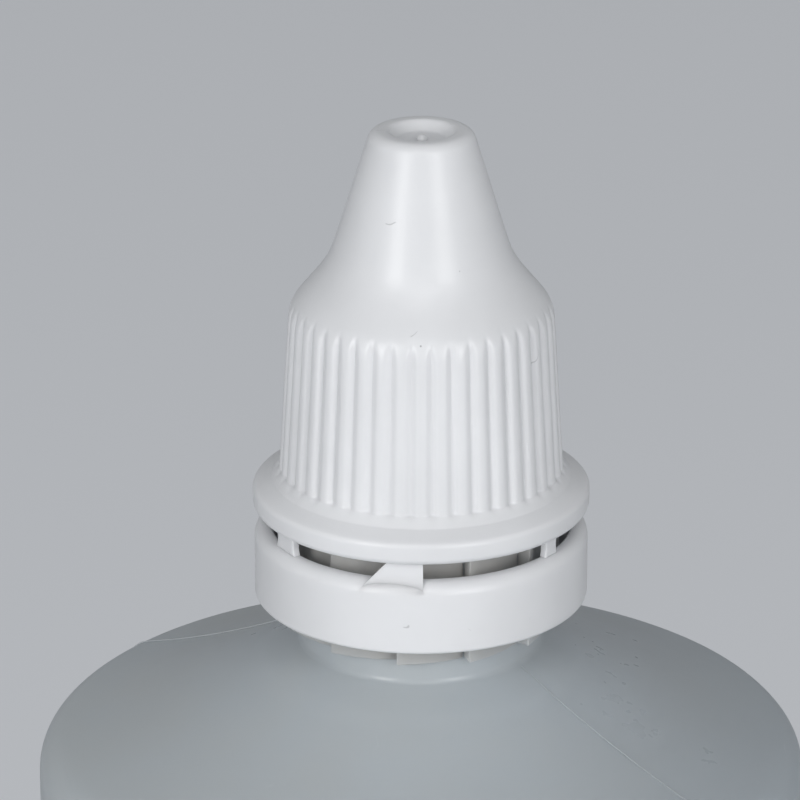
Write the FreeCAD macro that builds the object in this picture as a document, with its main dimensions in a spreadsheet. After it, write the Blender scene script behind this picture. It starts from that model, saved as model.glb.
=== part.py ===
"""Squeezable dropper bottle with a ribbed, conical, tamper-evident screw cap.

Every driving size lives in the sheet called "size" (millimetres and degrees).
The bottle stands on the origin, its axis is +Z, and the front of the closure
faces -Y.  Five pieces: the blow-moulded bottle with its threaded neck and
ratchet wheel, the dropper plug pressed into the neck, the cap, the tamper ring
and the three breakaway bridges that join the last two until first opening.
"""
import FreeCAD, Part
import math
import os
import Sketcher

V = FreeCAD.Vector
Z_AXIS = V(0, 0, 1)
FULL_TURN = 360
SINK = "0.3"  # how far an added feature is sunk into its base so that they fuse

SIZES = [
    # bottle
    ("barrel_radius", 23.15, "outside of the barrel"),
    ("bottle_wall", 1.1, "wall of the barrel, shoulder and base"),
    ("base_round", 3.2, "outside round between barrel and base"),
    ("base_land_width", 2.45, "width of the ring that the bottle stands on"),
    ("base_slope_width", 5.5, "width of the slope up to the raised middle"),
    ("base_push_up", 1.3, "how far the middle of the base is raised"),
    ("pinch_width", 0.6, "pinch-off line across the base"),
    ("pinch_height", 0.35, "how far the pinch-off line stands out of the base"),
    ("pinch_inset", 1.0, "from the pinch-off line's end to the edge of the raised middle"),
    ("parting_angle", -37.0, "plane in which the halves of the mould meet, from +X"),
    ("shoulder_round", 2.2, "outside round between barrel and shoulder"),
    ("shoulder_fall", 6.7, "drop of the shoulder from neck foot to barrel"),
    ("shoulder_dome", 80.0, "radius of the shoulder's gentle dome"),
    ("neck_foot_height", 80.2, "table to the foot of the neck"),
    ("rim_rise", 10.9, "top of the ratchet wheel to the rim"),
    ("neck_bore", 4.85, "bore that holds the dropper plug"),
    ("neck_wall", 1.1, "wall of the neck under its thread"),
    # ratchet wheel round the foot of the neck
    ("wheel_rise", 1.5, "neck foot to the underside of the wheel"),
    ("wheel_height", 6.6, "height of the wheel"),
    ("wheel_ledge", 1.55, "how far the wheel's root stands out of the neck"),
    ("wheel_overhang", 0.3, "how far the wheel's root stands out of the neck foot"),
    ("tooth_depth", 0.8, "depth of the wheel's teeth"),
    ("wheel_teeth", 12, "number of teeth"),
    ("wheel_start_angle", -100.0, "step of the first tooth, from +X"),
    # thread
    ("thread_pitch", 3.0, "rise per turn"),
    ("thread_turns", 1.5, "turns of thread on the neck and in the cap"),
    ("thread_depth", 0.6, "how far the neck thread stands out"),
    ("thread_root_width", 1.2, "width of a thread at its root"),
    ("thread_crest_width", 0.5, "width of a thread at its crest"),
    ("thread_inset", 2.2, "rim to the middle of the neck thread's upper end"),
    ("thread_play", 0.15, "clearance beside and over the threads"),
    # dropper plug
    ("plug_play", 0.1, "clearance of the plug's skirt in the neck"),
    ("bead_play", 0.02, "clearance of the plug's sealing beads in the neck"),
    ("bead_width", 0.8, "height of a sealing bead"),
    ("bead_pitch", 3.0, "distance from one sealing bead to the next"),
    ("bead_start", 1.6, "rim to the middle of the first bead"),
    ("plug_wall", 0.9, "wall of the plug"),
    ("plug_depth", 8.0, "length of the plug's skirt in the neck"),
    ("plug_lead", 0.7, "lead-in at the foot of the plug's skirt"),
    ("plug_flange_inset", 0.2, "how far the plug's flange stays inside the neck's outside"),
    ("plug_flange_height", 1.2, "height of the flange that sits on the rim"),
    ("nozzle_step", 0.65, "from the neck's bore in to the foot of the nozzle"),
    ("nozzle_tip_radius", 1.75, "outside of the nozzle at its tip"),
    ("orifice_radius", 0.45, "drop hole"),
    ("orifice_length", 2.4, "length of the drop hole below its flare"),
    ("orifice_flare_radius", 0.95, "mouth of the drop hole"),
    ("orifice_flare_depth", 0.5, "depth of the flared mouth"),
    # tamper ring, stop wedges and bridges
    ("ring_rise", 2.94, "neck foot to the underside of the ring"),
    ("ring_height", 4.44, "height of the tamper ring"),
    ("ring_play", 0.6, "clearance of the ring round the wheel's tips"),
    ("ring_wall", 1.02, "wall of the ring"),
    ("ring_round", 0.85, "round along the ring's upper edge"),
    ("ring_lower_round", 0.25, "round along the ring's lower edges"),
    ("pawl_reach", 1.05, "how far a pawl stands into the ring's bore"),
    ("pawl_sweep", 13.0, "angle that a pawl takes up"),
    ("pawl_play", 1.5, "angle between a pawl and the wheel's step"),
    ("pawl_height", 2.6, "height of the pawls"),
    ("bridge_count", 3, "bridges, and as many stop wedges"),
    ("bridge_width", 1.25, "width of a bridge"),
    ("bridge_depth", 0.5, "radial depth of a bridge"),
    ("bridge_start_angle", -31.0, "middle of the first bridge, from +X"),
    ("wedge_start_angle", -100.5, "middle of the first stop wedge, from +X"),
    ("wedge_length", 3.6, "length of a stop wedge at its foot"),
    ("wedge_top_length", 2.1, "length of a stop wedge at its top"),
    ("wedge_depth", 0.7, "radial depth of a stop wedge"),
    ("wedge_play", 0.12, "clearance between wedge and flange"),
    ("break_gap", 1.17, "gap between ring and cap flange"),
    # cap
    ("skirt_wall", 1.1, "wall of the cap's skirt at its upper end, over the ribs"),
    ("skirt_draft", 0.62, "how much wider the skirt is at its lower end"),
    ("skirt_foot_rise", 2.45, "underside of the flange to the skirt's lower end"),
    ("flange_reach", 1.58, "how far the flange stands out of the skirt"),
    ("flange_edge", 1.3, "height of the flange at its edge"),
    ("flange_slope_width", 1.1, "width of the flange's sloping upper face"),
    ("flange_slope_rise", 0.55, "rise of that face"),
    ("flange_round", 0.42, "rounds along the flange's edge"),
    ("skirt_root_round", 0.7, "round between flange and skirt"),
    ("cap_shoulder_rise", 0.81, "top of the plug's flange to the skirt's upper end"),
    ("cap_shoulder_round", 2.3, "round between skirt and flare"),
    ("cap_flare_rise", 2.89, "height of the flare"),
    ("cap_flare_width", 2.4, "how far the flare draws in"),
    ("cap_flare_round", 6.0, "round between flare and cone"),
    ("cap_cone_height", 7.9, "height of the cone"),
    ("cap_top_radius", 3.0, "cone at the top, before its round"),
    ("cap_top_round", 0.9, "round along the top of the cap"),
    ("cap_wall", 1.1, "wall of the flare and cone"),
    ("cap_roof", 1.05, "thickness of the roof under the dimple"),
    ("dimple_radius", 1.95, "dimple in the top of the cap, at its lip"),
    ("dimple_floor_radius", 1.45, "dimple at its floor"),
    ("dimple_depth", 0.6, "depth of the dimple"),
    ("dimple_round", 0.12, "round along the lip of the dimple"),
    ("nub_radius", 0.3, "gate nub in the middle of the dimple"),
    ("nub_height", 0.3, "height of the gate nub"),
    ("pin_play", 0.1, "clearance of the sealing pin in the drop hole"),
    ("pin_reach", 1.0, "how far the pin enters the drop hole"),
    ("nozzle_headroom", 0.45, "clearance between nozzle tip and roof"),
    ("rib_count", 42, "ribs round the skirt"),
    ("groove_width", 0.6, "width of the groove between two ribs"),
    ("groove_depth", 0.33, "depth of that groove"),
    ("groove_fade_depth", 0.04, "depth of the groove where it fades out at its foot"),
    ("groove_fade_height", 0.9, "height over which it fades out"),
    ("groove_flare", 0.35, "how far the groove's cutter reaches outside the ribs"),
    ("groove_overrun", 1.4, "how far the groove's cutter runs on past the skirt"),
]

doc = FreeCAD.newDocument("dropper_bottle")
sheet = doc.addObject("Spreadsheet::Sheet", "size")
for row, (alias, value, meaning) in enumerate(SIZES, start=1):
    sheet.set("A%d" % row, meaning)
    sheet.set("B%d" % row, str(value))
    sheet.setAlias("B%d" % row, alias)
doc.recompute()


def sized(expression):
    """The number that an expression over the sheet gives."""
    return float(sheet.evalExpression(expression))


def above(height, *rises):
    """The expression for a size with others added to it."""
    return "(%s)" % " + ".join((height,) + rises)


def below(height, *drops):
    """The expression for a size with others taken off it."""
    return "(%s)" % " - ".join((height,) + drops)


# Radii and heights that several pieces share, each worked out once from the sheet.
LAND_RADIUS = below("size.barrel_radius", "size.base_round", "size.base_land_width")
DOME_RADIUS = below(LAND_RADIUS, "size.base_slope_width")
NECK_RADIUS = above("size.neck_bore", "size.neck_wall")
WHEEL_ROOT = above(NECK_RADIUS, "size.wheel_ledge")
WHEEL_TIP = above(WHEEL_ROOT, "size.tooth_depth")
NECK_FOOT_RADIUS = below(WHEEL_ROOT, "size.wheel_overhang")
THREAD_CREST = above(NECK_RADIUS, "size.thread_depth")
CAP_THREAD_CREST = above(NECK_RADIUS, "size.thread_play")
CAP_BORE = above(THREAD_CREST, "size.thread_play")
SKIRT_TOP_RADIUS = above(CAP_BORE, "size.skirt_wall")
SKIRT_FOOT_RADIUS = above(SKIRT_TOP_RADIUS, "size.skirt_draft")
FLANGE_RADIUS = above(SKIRT_FOOT_RADIUS, "size.flange_reach")
FLARE_RADIUS = below(SKIRT_TOP_RADIUS, "size.cap_flare_width")
RING_BORE = above(WHEEL_TIP, "size.ring_play")
RING_RADIUS = above(RING_BORE, "size.ring_wall")
NOZZLE_BASE = below("size.neck_bore", "size.nozzle_step")

WHEEL_FOOT = above("size.neck_foot_height", "size.wheel_rise")
WHEEL_TOP = above(WHEEL_FOOT, "size.wheel_height")
RIM = above(WHEEL_TOP, "size.rim_rise")
PLUG_TOP = above(RIM, "size.plug_flange_height")
RING_FOOT = above("size.neck_foot_height", "size.ring_rise")
RING_TOP = above(RING_FOOT, "size.ring_height")
CAP_FOOT = above(RING_TOP, "size.break_gap")
SKIRT_FOOT = above(CAP_FOOT, "size.skirt_foot_rise")
SKIRT_TOP = above(PLUG_TOP, "size.cap_shoulder_rise")
FLARE_TOP = above(SKIRT_TOP, "size.cap_flare_rise")
CAP_TOP = above(FLARE_TOP, "size.cap_cone_height")
DIMPLE_FLOOR = below(CAP_TOP, "size.dimple_depth")
CAP_ROOF = below(DIMPLE_FLOOR, "size.cap_roof")
NOZZLE_TIP = below(CAP_ROOF, "size.nozzle_headroom")
THREAD_START = below(RIM, "size.thread_inset", "size.thread_turns * size.thread_pitch")
THREAD_SHIFT = "((size.thread_root_width + size.thread_crest_width) / 2 + size.thread_play)"


def new_body(name):
    """A body whose name is also its label and its file's name."""
    body = doc.addObject("PartDesign::Body", name)
    body.Label = name
    body.Placement = FreeCAD.Placement()
    return body


def origin_part(body, role):
    """One of the body's own origin planes or axes."""
    return [part for part in body.Origin.OriginFeatures if part.Role == role][0]


def new_sketch(body, name, plane, height=None, turn=None, out=None):
    """An empty sketch on an origin plane.

    A level sketch can be raised to a height; an upright one, which faces -Y, can
    be turned about the bottle's axis and moved out from it.
    """
    sketch = body.newObject("Sketcher::SketchObject", name)
    sketch.AttachmentSupport = [(origin_part(body, plane), "")]
    sketch.MapMode = "FlatFace"
    if height is not None:
        sketch.setExpression(".AttachmentOffset.Base.z", height)
    if turn is not None:
        upright_axis = V(0, 1, 0)
        sketch.AttachmentOffset = FreeCAD.Placement(V(), FreeCAD.Rotation(upright_axis, 1))
        sketch.setExpression(".AttachmentOffset.Rotation.Angle", "(%s) * 1 deg" % turn)
        sketch.setExpression(".AttachmentOffset.Base.x", "%s * sin((%s) * 1 deg)" % (out, turn))
        sketch.setExpression(".AttachmentOffset.Base.z", "%s * cos((%s) * 1 deg)" % (out, turn))
    return sketch


def arc_between(start, end, radius, clockwise):
    """The shorter arc of a radius from one point to another."""
    chord = end - start
    side = V(-chord.y, chord.x, 0).normalize()
    if clockwise:
        side = -side
    reach = math.sqrt(radius ** 2 - (chord.Length / 2) ** 2)
    centre = (start + end) / 2 + side * reach
    first, last = (end, start) if clockwise else (start, end)
    angles = [math.atan2(point.y - centre.y, point.x - centre.x) for point in (first, last)]
    return Part.ArcOfCircle(Part.Circle(centre, Z_AXIS, radius), *angles)


def draw_outline(sketch, corners, arcs=None):
    """A closed outline whose corners are tied to the sheet, across and up.

    arcs gives, by the number of its first corner, each side that is an arc: the
    expression of its radius and whether it runs clockwise.
    """
    arcs = arcs or {}
    places = [V(sized(across), sized(up), 0) for across, up in corners]
    count = len(corners)
    ends = []
    for index in range(count):
        start, end = places[index], places[(index + 1) % count]
        if index in arcs:
            radius, clockwise = arcs[index]
            sketch.addGeometry(arc_between(start, end, sized(radius), clockwise), False)
            ends.append((2, 1) if clockwise else (1, 2))
        else:
            sketch.addGeometry(Part.LineSegment(start, end), False)
            ends.append((1, 2))
    for index in range(count):
        following = (index + 1) % count
        joint = Sketcher.Constraint("Coincident", index, ends[index][1], following, ends[following][0])
        sketch.addConstraint(joint)
    for index, (across, up) in enumerate(corners):
        for kind, text, axis in (("DistanceX", across, -2), ("DistanceY", up, -1)):
            point = ends[index][0]
            if text == "0":
                sketch.addConstraint(Sketcher.Constraint("PointOnObject", index, point, axis))
                continue
            tie = Sketcher.Constraint(kind, -1, 1, index, point, sized(text))
            sketch.setExpression("Constraints[%d]" % sketch.addConstraint(tie), text)
    for index, (radius, clockwise) in arcs.items():
        tie = Sketcher.Constraint("Radius", index, sized(radius))
        sketch.setExpression("Constraints[%d]" % sketch.addConstraint(tie), radius)
    return sketch


def revolve(body, name, corners, arcs=None):
    """Turns an outline drawn right of the axis once round it."""
    sketch = draw_outline(new_sketch(body, name + "_outline", "XZ_Plane"), corners, arcs)
    turned = body.newObject("PartDesign::Revolution", name)
    turned.Profile = sketch
    turned.ReferenceAxis = (sketch, ["V_Axis"])
    turned.Angle = FULL_TURN
    sketch.Visibility = False
    doc.recompute()
    return turned


def ring_edges(shape, rings):
    """Names of the circular edges round the axis at the given radii and heights."""
    names = []
    for across, up in rings:
        radius = sized(across)
        height = sized(up)
        for number, edge in enumerate(shape.Edges, start=1):
            if not isinstance(edge.Curve, Part.Circle):
                continue
            centre = edge.Curve.Center
            off_axis = math.hypot(centre.x, centre.y)
            if off_axis + abs(centre.z - height) + abs(edge.Curve.Radius - radius) < 0.01:
                names.append("Edge%d" % number)
    if len(names) < len(rings):
        raise ValueError("a ring edge is missing among %s" % rings)
    return names


def round_rings(body, name, radius, rings):
    """Rounds the circular edges of the body's tip."""
    base = body.Tip
    fillet = body.newObject("PartDesign::Fillet", name)
    fillet.Base = (base, ring_edges(base.Shape, rings))
    fillet.setExpression("Radius", radius)
    doc.recompute()
    if "Invalid" in fillet.State or fillet.Shape.isNull():
        raise ValueError("the round %s failed" % name)
    return fillet


def repeat(body, name, features, count):
    """Repeats features evenly round the body's axis."""
    pattern = body.newObject("PartDesign::PolarPattern", name)
    pattern.Originals = features
    pattern.Axis = (origin_part(body, "Z_Axis"), [""])
    pattern.Angle = FULL_TURN
    pattern.setExpression("Occurrences", count)
    body.Tip = pattern
    doc.recompute()
    return pattern


def polar(radius, angle):
    """Across and up expressions of a point at a radius and an angle."""
    return ("%s * cos((%s) * 1 deg)" % (radius, angle), "%s * sin((%s) * 1 deg)" % (radius, angle))


def pad_up(body, name, sketch, length):
    """A solid raised from a sketch along its normal."""
    pad = body.newObject("PartDesign::Pad", name)
    pad.Profile = sketch
    pad.setExpression("Length", length)
    sketch.Visibility = False
    doc.recompute()
    return pad


def make_bottle():
    """The blow-moulded bottle: base, barrel, shoulder, neck, wheel and thread."""
    body = new_body("bottle")
    shoulder_edge = below("size.neck_foot_height", "size.shoulder_fall")
    inner_radius = below("size.barrel_radius", "size.bottle_wall")
    inner_edge = below(shoulder_edge, "size.bottle_wall")
    inner_foot = below("size.neck_foot_height", "size.bottle_wall")
    raised_floor = above("size.base_push_up", "size.bottle_wall")
    revolve(body, "shell", [
        ("0", "size.base_push_up"),
        (DOME_RADIUS, "size.base_push_up"),
        (LAND_RADIUS, "0"),
        ("size.barrel_radius", "0"),
        ("size.barrel_radius", shoulder_edge),
        (NECK_FOOT_RADIUS, "size.neck_foot_height"),
        (NECK_FOOT_RADIUS, WHEEL_FOOT),
        (WHEEL_ROOT, WHEEL_FOOT),
        (WHEEL_ROOT, WHEEL_TOP),
        (NECK_RADIUS, WHEEL_TOP),
        (NECK_RADIUS, RIM),
        ("size.neck_bore", RIM),
        ("size.neck_bore", inner_foot),
        (inner_radius, inner_edge),
        (inner_radius, "size.bottle_wall"),
        (LAND_RADIUS, "size.bottle_wall"),
        (DOME_RADIUS, raised_floor),
        ("0", raised_floor),
    ], arcs={4: ("size.shoulder_dome", False), 12: ("size.shoulder_dome - size.bottle_wall", True)})
    round_rings(body, "base_corner", "size.base_round", [("size.barrel_radius", "0")])
    round_rings(body, "base_inner_corner", "size.base_round - size.bottle_wall",
                [(inner_radius, "size.bottle_wall")])
    round_rings(body, "shoulder_corner", "size.shoulder_round",
                [("size.barrel_radius", shoulder_edge)])
    round_rings(body, "shoulder_inner_corner", "size.shoulder_round / 2",
                [(inner_radius, inner_edge)])
    round_rings(body, "neck_foot_fillet", "size.wheel_rise / 4",
                [(NECK_FOOT_RADIUS, "size.neck_foot_height")])
    round_rings(body, "rim_rounds", "size.neck_wall / 5",
                [(NECK_RADIUS, RIM), ("size.neck_bore", RIM)])
    add_pinch_line(body)
    add_wheel_teeth(body)
    add_thread(body, "neck_thread", below(NECK_RADIUS, SINK), NECK_RADIUS, THREAD_CREST, THREAD_START)
    return body


def add_thread(body, name, sunk, root, crest, start):
    """A thread of one start, its section once drawn and swept along the screw line."""
    half_root = "size.thread_root_width / 2"
    half_crest = "size.thread_crest_width / 2"
    sketch = draw_outline(new_sketch(body, name + "_section", "XZ_Plane"), [
        (sunk, below(start, half_root)),
        (root, below(start, half_root)),
        (crest, below(start, half_crest)),
        (crest, above(start, half_crest)),
        (root, above(start, half_root)),
        (sunk, above(start, half_root)),
    ])
    thread = body.newObject("PartDesign::AdditiveHelix", name)
    thread.Profile = sketch
    thread.ReferenceAxis = (sketch, ["V_Axis"])
    thread.Mode = "pitch-turns-angle"
    thread.setExpression("Pitch", "size.thread_pitch")
    thread.setExpression("Turns", "size.thread_turns")
    thread.Angle = 0
    sketch.Visibility = False
    doc.recompute()


def on_parting_plane(along, aside):
    """Across and up expressions of a point given along the parting plane and aside from it."""
    cosine, sine = "cos(size.parting_angle * 1 deg)", "sin(size.parting_angle * 1 deg)"
    return (
        "(%s) * %s - (%s) * %s" % (along, cosine, aside, sine),
        "(%s) * %s + (%s) * %s" % (along, sine, aside, cosine),
    )


def add_pinch_line(body):
    """The line left under the base where the mould pinched the tube shut."""
    half_length = below(DOME_RADIUS, "size.pinch_inset")
    half_width = "size.pinch_width / 2"
    foot = below("size.base_push_up", "size.pinch_height")
    sketch = draw_outline(new_sketch(body, "pinch_line_outline", "XY_Plane", foot), [
        on_parting_plane("-(%s)" % half_length, "-%s" % half_width),
        on_parting_plane(half_length, "-%s" % half_width),
        on_parting_plane(half_length, half_width),
        on_parting_plane("-(%s)" % half_length, half_width),
    ])
    pad_up(body, "pinch_line", sketch, above("size.pinch_height", SINK))


def add_wheel_teeth(body):
    """Saw teeth round the neck: each has one radial step and one long ramp."""
    start = "size.wheel_start_angle"
    end = above(start, "360 / size.wheel_teeth")
    buried = below(WHEEL_ROOT, SINK)
    sketch = draw_outline(new_sketch(body, "tooth_outline", "XY_Plane", WHEEL_FOOT), [
        polar(buried, start),
        polar(WHEEL_TIP, start),
        polar(WHEEL_ROOT, end),
        polar(buried, end),
    ])
    tooth = pad_up(body, "tooth", sketch, "size.wheel_height")
    repeat(body, "tooth_pattern", [tooth], "size.wheel_teeth")


def make_dropper_plug():
    """The soft nozzle insert: skirt with sealing beads, flange, cone, drop hole."""
    body = new_body("dropper_plug")
    skirt = below("size.neck_bore", "size.plug_play")
    skirt_bore = below(skirt, "size.plug_wall")
    flange_radius = below(NECK_RADIUS, "size.plug_flange_inset")
    foot = below(RIM, "size.plug_depth")
    flare_foot = below(NOZZLE_TIP, "size.orifice_flare_depth")
    hole_foot = below(flare_foot, "size.orifice_length")
    revolve(body, "nozzle", [
        (skirt_bore, foot),
        (below(skirt, "size.plug_wall / 2"), foot),
        (skirt, above(foot, "size.plug_lead")),
        (skirt, RIM),
        (flange_radius, RIM),
        (flange_radius, PLUG_TOP),
        (NOZZLE_BASE, PLUG_TOP),
        ("size.nozzle_tip_radius", NOZZLE_TIP),
        ("size.orifice_flare_radius", NOZZLE_TIP),
        ("size.orifice_radius", flare_foot),
        ("size.orifice_radius", hole_foot),
        (below(NOZZLE_BASE, "size.plug_wall"), PLUG_TOP),
        (skirt_bore, RIM),
    ])
    round_rings(body, "flange_edge", "size.plug_wall / 4", [(flange_radius, PLUG_TOP)])
    round_rings(body, "tip_edge", "size.plug_wall / 3", [("size.nozzle_tip_radius", NOZZLE_TIP)])
    round_rings(body, "nozzle_foot_fillet", "size.plug_wall / 2", [(NOZZLE_BASE, PLUG_TOP)])
    for number in range(2):
        add_sealing_bead(body, number)
    return body


def add_sealing_bead(body, number):
    """A low triangular bead round the plug's skirt."""
    middle = below(RIM, "size.bead_start", "%d * size.bead_pitch" % number)
    crest = below("size.neck_bore", "size.bead_play")
    buried = below("size.neck_bore", "size.plug_play", "size.plug_wall / 4")
    revolve(body, "sealing_bead_%d" % (number + 1), [
        (buried, below(middle, "size.bead_width / 2")),
        (crest, middle),
        (buried, above(middle, "size.bead_width / 2")),
    ])


def make_tamper_ring():
    """The ring left round the neck: pawls inside, three stop wedges on top."""
    body = new_body("tamper_ring")
    revolve(body, "band", [
        (RING_BORE, RING_FOOT),
        (RING_RADIUS, RING_FOOT),
        (RING_RADIUS, RING_TOP),
        (RING_BORE, RING_TOP),
    ])
    round_rings(body, "upper_edge", "size.ring_round", [(RING_RADIUS, RING_TOP)])
    round_rings(body, "lower_edges", "size.ring_lower_round",
                [(RING_RADIUS, RING_FOOT), (RING_BORE, RING_FOOT)])
    add_pawls(body)
    add_stop_wedges(body)
    return body


def add_pawls(body):
    """Pawls inside the ring that meet the wheel's steps when the cap is unscrewed."""
    stop = below("size.wheel_start_angle", "size.pawl_play")
    back = below(stop, "size.pawl_sweep")
    buried = above(RING_BORE, SINK)
    foot = above(RING_FOOT, "size.ring_lower_round")
    sketch = draw_outline(new_sketch(body, "pawl_outline", "XY_Plane", foot), [
        polar(buried, stop),
        polar(buried, back),
        polar(RING_BORE, back),
        polar(below(RING_BORE, "size.pawl_reach"), stop),
    ])
    pawl = pad_up(body, "pawl", sketch, "size.pawl_height")
    repeat(body, "pawl_pattern", [pawl], "size.wheel_teeth")


def add_stop_wedges(body):
    """Wedges that keep the cap's flange from crushing the bridges."""
    facing = above("size.wedge_start_angle", "90")
    half_foot = "size.wedge_length / 2"
    top = below(CAP_FOOT, "size.wedge_play")
    foot = below(RING_TOP, SINK)
    sketch = new_sketch(body, "wedge_outline", "XZ_Plane", turn=facing, out=RING_BORE)
    draw_outline(sketch, [
        ("-" + half_foot, foot),
        (half_foot, foot),
        (half_foot, top),
        (below(half_foot, "size.wedge_top_length"), top),
        ("-" + half_foot, RING_TOP),
    ])
    wedge = pad_up(body, "wedge", sketch, "size.wedge_depth")
    repeat(body, "wedge_pattern", [wedge], "size.bridge_count")


def make_cap():
    """The screw cap: flange, ribbed skirt, flare, cone, dimple, thread and pin."""
    body = new_body("cap")
    flange_edge_top = above(CAP_FOOT, "size.flange_edge")
    slope_radius = below(FLANGE_RADIUS, "size.flange_slope_width")
    slope_top = above(flange_edge_top, "size.flange_slope_rise")
    nub_top = above(DIMPLE_FLOOR, "size.nub_height")
    pin_radius = below("size.orifice_radius", "size.pin_play")
    pin_tip = below(NOZZLE_TIP, "size.pin_reach")
    roof_radius = below("size.cap_top_radius", "size.cap_wall / 2")
    revolve(body, "cap_shell", [
        (CAP_BORE, CAP_FOOT),
        (FLANGE_RADIUS, CAP_FOOT),
        (FLANGE_RADIUS, flange_edge_top),
        (slope_radius, slope_top),
        (SKIRT_FOOT_RADIUS, SKIRT_FOOT),
        (SKIRT_TOP_RADIUS, SKIRT_TOP),
        (FLARE_RADIUS, FLARE_TOP),
        ("size.cap_top_radius", CAP_TOP),
        ("size.dimple_radius", CAP_TOP),
        ("size.dimple_floor_radius", DIMPLE_FLOOR),
        ("size.nub_radius", DIMPLE_FLOOR),
        ("size.nub_radius", nub_top),
        ("0", nub_top),
        ("0", pin_tip),
        (pin_radius, pin_tip),
        (pin_radius, CAP_ROOF),
        (roof_radius, CAP_ROOF),
        (below(FLARE_RADIUS, "size.cap_wall"), FLARE_TOP),
        (CAP_BORE, below(SKIRT_TOP, "size.cap_wall / 2")),
    ])
    round_rings(body, "flange_rounds", "size.flange_round",
                [(FLANGE_RADIUS, CAP_FOOT), (FLANGE_RADIUS, flange_edge_top)])
    round_rings(body, "skirt_root_upper", "size.skirt_root_round", [(SKIRT_FOOT_RADIUS, SKIRT_FOOT)])
    round_rings(body, "skirt_root_lower", "size.skirt_root_round", [(slope_radius, slope_top)])
    round_rings(body, "shoulder_round", "size.cap_shoulder_round", [(SKIRT_TOP_RADIUS, SKIRT_TOP)])
    round_rings(body, "flare_round", "size.cap_flare_round", [(FLARE_RADIUS, FLARE_TOP)])
    round_rings(body, "top_round", "size.cap_top_round", [("size.cap_top_radius", CAP_TOP)])
    round_rings(body, "dimple_lip", "size.dimple_round", [("size.dimple_radius", CAP_TOP)])
    add_rib_grooves(body)
    add_thread(body, "cap_thread", above(CAP_BORE, SINK), CAP_BORE, CAP_THREAD_CREST,
               below(THREAD_START, THREAD_SHIFT))
    return body


def groove_section(body, name, rib_radius, depth, height):
    """One V across a groove, drawn level at a height, opening outwards."""
    outer = above(rib_radius, "size.groove_flare")
    half_width = "(size.groove_width / 2 * (%s + size.groove_flare) / size.groove_depth)" % depth
    return draw_outline(new_sketch(body, name, "XY_Plane", height), [
        (below(rib_radius, depth), "0"),
        (outer, "-" + half_width),
        (outer, half_width),
    ])


def add_rib_grooves(body):
    """Grooves down the skirt leave the ribs: they fade in at the foot and run out at the flare."""
    draft = "(size.skirt_draft / (%s - %s))" % (SKIRT_TOP, SKIRT_FOOT)
    fade_top = above(SKIRT_FOOT, "size.groove_fade_height")
    fade_radius = below(SKIRT_FOOT_RADIUS, "%s * size.groove_fade_height" % draft)
    end = above(SKIRT_TOP, "size.groove_overrun")
    end_radius = below(SKIRT_TOP_RADIUS, "%s * size.groove_overrun" % draft)
    depth = "size.groove_depth"
    sections = [
        groove_section(body, "groove_foot", SKIRT_FOOT_RADIUS, "size.groove_fade_depth", SKIRT_FOOT),
        groove_section(body, "groove_full", fade_radius, depth, fade_top),
        groove_section(body, "groove_end", end_radius, depth, end),
    ]
    groove = body.newObject("PartDesign::SubtractiveLoft", "groove")
    groove.Profile = sections[0]
    groove.Sections = sections[1:]
    groove.Ruled = True
    doc.recompute()
    repeat(body, "groove_pattern", [groove], "size.rib_count")


def make_bridges():
    """The thin bridges that hold ring and cap together until the cap is first turned."""
    bars = []
    for number in range(round(sized("size.bridge_count"))):
        bar = doc.addObject("Part::Box", "bridge_%d" % (number + 1))
        angle = "((%s + %d * 360 / size.bridge_count) * 1 deg)" % ("size.bridge_start_angle", number)
        bar.setExpression("Length", "size.bridge_depth")
        bar.setExpression("Width", "size.bridge_width")
        bar.setExpression("Height", "size.break_gap")
        bar.Placement = FreeCAD.Placement(V(), FreeCAD.Rotation(Z_AXIS, 1))
        bar.setExpression(".Placement.Rotation.Angle", angle)
        half = "size.bridge_width / 2"
        across = "%s * cos(%s) + %s * sin(%s)" % (RING_BORE, angle, half, angle)
        up = "%s * sin(%s) - %s * cos(%s)" % (RING_BORE, angle, half, angle)
        bar.setExpression(".Placement.Base.x", across)
        bar.setExpression(".Placement.Base.y", up)
        bar.setExpression(".Placement.Base.z", RING_TOP)
        bars.append(bar)
    group = doc.addObject("Part::Compound", "breakaway_bridges")
    group.Label = "breakaway_bridges"
    group.Links = bars
    doc.recompute()
    return group


def write_parts(parts):
    """Writes each sub-part, once every object of the document is sound."""
    for item in doc.Objects:
        for trouble in ("Invalid", "Error"):
            if trouble in item.State:
                raise ValueError("%s is %s" % (item.Label, trouble))
    for part in parts:
        if part.Shape.isNull() or not part.Shape.isValid():
            raise ValueError("%s has no sound shape" % part.Label)
    os.makedirs("parts", exist_ok=True)
    for part in parts:
        part.Shape.exportStep("parts/%s.step" % part.Label)
        box = part.Shape.BoundBox
        print("%-18s %2d solid(s) %9.2f mm3  z %.2f to %.2f"
              % (part.Label, len(part.Shape.Solids), part.Shape.Volume, box.ZMin, box.ZMax))


parts = [make_bottle(), make_dropper_plug(), make_tamper_ring(), make_cap(), make_bridges()]
doc.recompute()
write_parts(parts)
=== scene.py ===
"""Looks of a squeezable dropper bottle with a ribbed tamper-evident screw cap."""

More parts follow.
